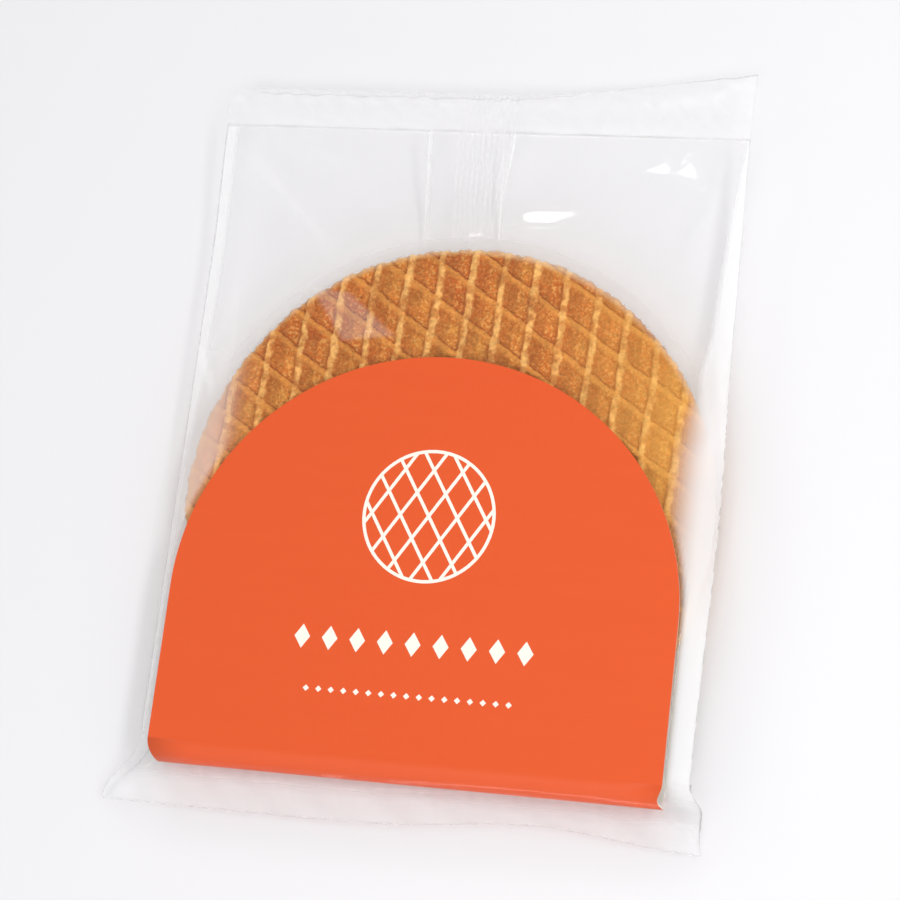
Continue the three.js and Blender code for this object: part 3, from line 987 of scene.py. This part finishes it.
def wafer_material():
    """Baked wafer: light golden ridge tops, partly a painted highlight, orange brown cells that
    are darkest along their edges, partly with painted shade beside the ridges, a web of paler open
    pores inside them, painted light on its right and left, and a dry, matt skin."""
    material, tree, place_on = new_material("Baked wafer")
    middle = tuple(float(v) for v in place([BAKED["x"], BAKED["y"], LAYERS["upper"][1]]))
    value = {name: add_node(tree, NOISE, {"Vector": place_on, **dict(zip(NOISE_INPUTS, sizes))})
             for name, sizes in SKIN_NOISES.items()}
    specks = add_node(tree, "ShaderNodeTexVoronoi", {"Vector": place_on, "Scale": 130.0})
    value["speck"] = specks.outputs["Distance"]
    from_middle = chain(tree, place_on, ("DISTANCE", middle), kind=VECTOR_MATH)
    value["from_middle"] = from_middle.outputs["Value"]
    tops, cell = [], []
    for family, pale in PALE_AND_PAINTED_LIT_TOPS.items():
        pitches = add_node(tree, "ShaderNodeAttribute", attribute_name=family + "_pitches").outputs["Fac"]
        cell.append(chain(tree, pitches, ("FLOOR",)))
        value[family] = chain(
            tree, value["stray"], ("MULTIPLY_ADD", 0.2, pitches), ("SUBTRACT", 0.1),
            ("WRAP", 0.5, -0.5))
        tops.append(band(tree, value[family], *pale))
    share = {name: add_node(tree, MAP_RANGE, [value[follows], *limits])
             for name, (follows, *limits) in SKIN_SHARES.items()}
    off_upright, off_shade = (
        add_node(tree, MATH, [1.0, taken], operation="SUBTRACT", use_clamp=True)
        for taken in (tops[0], share["painted_shade_left_of_ridge"]))

    at_cell = add_node(tree, "ShaderNodeCombineXYZ", {"X": cell[0], "Y": cell[1]})
    tone = add_node(tree, "ShaderNodeTexWhiteNoise", {"Vector": at_cell}, noise_dimensions="3D")
    ridged = lay_colours(tree, linear("#c16025"), [
        ("#cb742b", tone.outputs["Value"]),
        ("#d2933f", share["paler"]),
        ("#c75f20", share["right_of_ridge"], share["below_ridge"], 0.4),
        # Painted shade on the left of the upright ridges
        ("#ad5c25", share["painted_shade_left_of_ridge"]),
        ("#e5a75a", share["strand"], off_shade),
        # Pale ridge tops, partly painted highlights
        ("#dd9243", tops[1], 0.8),
        ("#f3b668", tops[0], share["golden"]),
        # Painted shade: a dark line along the high side of the falling ridges
        ("#94491c", band(tree, value["falling"], *PAINTED_CREASE_SHADE, "LINEAR"), off_upright, 0.65),
    ])
    shading = chain(tree, share["grain"], ("MULTIPLY", share["browner"]))
    grained = add_node(tree, VECTOR_MATH, {0: ridged, "Scale": shading}, operation="SCALE")
    specked = add_node(tree, "ShaderNodeMixRGB", [share["clean"], linear("#6e3417"), grained])

    # The paler golden rim, partly a painted highlight, uneven along its length
    uneven_rim_and_highlight = chain(tree, share["golden"], ("MAXIMUM", 0.55))
    across = add_node(tree, "ShaderNodeSeparateXYZ", [place_on])
    # Painted light: the right side paler, and the left rim brighter, as colour
    painted_light_sides = [(colour, add_node(tree, MAP_RANGE, [
        across, middle[0] + start * MM, middle[0] + end * MM, 0.0, 0.5]))
        for colour, start, end in PAINTED_LIGHT_SIDES]
    baked = lay_colours(tree, specked, [("#f2bc62", share["rim"], uneven_rim_and_highlight)] + painted_light_sides)

    pores = add_node(tree, "ShaderNodeBump", {"Height": value["crumb"], "Strength": 0.5, "Distance": 0.0003})
    veins = add_node(tree, "ShaderNodeBump", {
        "Height": share["strand"], "Strength": 0.35, "Distance": 0.0002, "Normal": pores})
    skin = add_node(tree, "ShaderNodeBsdfPrincipled", {
        "Base Color": baked, "Roughness": 0.75, "Specular IOR Level": 0.2, "Normal": veins})
    return finish_material(material, skin)


def caramel_material():
    """Cooked caramel syrup: dark amber and slightly glossy."""
    material, tree, place_on = new_material("Cooked caramel")
    streak = add_node(tree, NOISE, {"Vector": place_on, "Scale": 300.0, "Detail": 3.0})
    colour = lay_colours(tree, linear("#5a2a0e"), [("#8f4c1c", streak)])
    body = add_node(tree, "ShaderNodeBsdfPrincipled", {"Base Color": colour, "Roughness": 0.35})
    return finish_material(material, body)


def card_material(name, base, streaked, roughness):
    """Coated carton: an even colour with faint rolled streaks and a fine fibre grain."""
    material, tree, place_on = new_material(name)
    stretched = add_node(tree, "ShaderNodeMapping", {"Vector": place_on, "Scale": (60.0, 900.0, 60.0)})
    streak = add_node(tree, NOISE, {"Vector": stretched, "Scale": 1.0, "Detail": 2.0})
    fibre = add_node(tree, NOISE, {"Vector": place_on, "Scale": 1800.0, "Detail": 2.0})
    colour = lay_colours(tree, linear(base), [(streaked, streak)])
    bump = add_node(tree, "ShaderNodeBump", {"Height": fibre, "Strength": 0.12, "Distance": 0.0001})
    body = add_node(tree, "ShaderNodeBsdfPrincipled", {
        "Base Color": colour, "Roughness": roughness, "Specular IOR Level": 0.25, "Normal": bump})
    return finish_material(material, body)


# Stage


def make_floor():
    """An even, matt floor without shine."""
    material, tree, _ = new_material("Pale floor")
    paint = add_node(tree, "ShaderNodeBsdfPrincipled", {
        "Base Color": linear(FLOOR["colour"]), "Roughness": 0.9, "Specular IOR Level": 0.0})
    points = np.array([(-1, -1, 0), (1, -1, 0), (1, 1, 0), (-1, 1, 0)]) * FLOOR["reach"]
    floor = mesh_piece("floor", points, [[0, 1, 2, 3]], [finish_material(material, paint)])


def put(name, data, at, across, up, backward):
    """A lamp or a camera at a place in pack millimetres, turned to its three directions."""
    thing = bpy.data.objects.new(name, data)
    turn = Matrix((across, up, backward)).transposed().to_4x4()
    thing.matrix_world = Matrix.Translation(Vector(place(at))) @ turn
    bpy.context.collection.objects.link(thing)
    return thing


def softbox(name, at, size, radiance):
    """A rectangular lamp. Its power follows from its radiance."""
    data = bpy.data.lights.new(name, "AREA")
    data.shape = "RECTANGLE"
    data.size, data.size_y = size[0] * MM, size[1] * MM
    data.energy = radiance * math.pi * data.size * data.size_y
    backward = (Vector(place(at)) - Vector(place(AIM))).normalized()
    across = Vector((0, 1, 0)).cross(backward).normalized()
    put(name, data, at, across, backward.cross(across), backward)


def make_light():
    """A white room that is dark overhead, where the camera stands, and softboxes round it."""
    world = bpy.data.worlds.new("Soft room")
    world.use_nodes = True
    tree = world.node_tree
    tree.nodes.clear()
    direction = add_node(tree, "ShaderNodeTexCoord").outputs["Generated"]
    towards = tuple(Vector(DARK_OVERHEAD["towards"]).normalized())
    aligned = add_node(tree, VECTOR_MATH, [direction, towards], operation="DOT_PRODUCT")
    outer, inner = (math.cos(math.radians(DARK_OVERHEAD[limit])) for limit in ("outer", "inner"))
    strength = add_node(tree, MAP_RANGE, [
        aligned.outputs["Value"], outer, inner, ROOM_RADIANCE["walls"], ROOM_RADIANCE["overhead"],
    ], interpolation_type="SMOOTHSTEP")
    room = add_node(tree, "ShaderNodeBackground", {"Color": (1, 1, 1, 1), "Strength": strength})
    add_node(tree, "ShaderNodeOutputWorld", {"Surface": room})
    bpy.context.scene.world = world
    for name, settings in LAMPS.items():
        softbox(name, *settings)


def make_camera():
    data = bpy.data.cameras.new("photo_view")
    data.lens, data.sensor_width = CAMERA["lens"], CAMERA["sensor"]
    data.clip_start, data.clip_end = CAMERA["clip"]
    right, down, forward = (Vector(CAMERA[way]) for way in ("right", "down", "forward"))
    bpy.context.scene.camera = put("photo_view", data, CAMERA["place"], right, -down, -forward)


def main():
    bpy.context.scene.view_settings.view_transform = "Standard"
    bpy.context.scene.cycles.transparent_max_bounces = FILM_CROSSINGS
    film, welded = (film_material(name, *finish) for name, finish in FILM_FINISH.items())
    wafer = wafer_material()
    caramel = caramel_material()
    orange, board, ink = (card_material(name, *finish) for name, finish in CARTON_FINISH.items())

    diamonds = relief_tree()
    lozenges = lozenge_row_tree()
    pieces = {piece.name: (piece, slot) for piece, slot in (
        (make_wafer("upper_wafer", "upper", True, diamonds, wafer, SEED), "wafer"),
        (make_caramel(caramel), "caramel"),
        (make_wafer("lower_wafer", "lower", False, diamonds, wafer, SEED + 9), "wafer"),
        (make_card(orange, board), "card"),
        (make_emblem(ink), "print"),
        *((make_lozenge_row(name, lozenges, ink, **row), "print") for name, row in PRINT_ROWS.items()),
        (make_film_bag(film), "clear_film"),
        (make_top_seal(welded), "clear_film"),
        (make_back_strip(welded), "clear_film"),
        (make_bottom_flap(welded), "clear_film"),
    )}
    for piece, slot in pieces.values():
        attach(piece, "root")
    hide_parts("sealed_bag")
    make_floor()
    make_light()
    make_camera()


main()
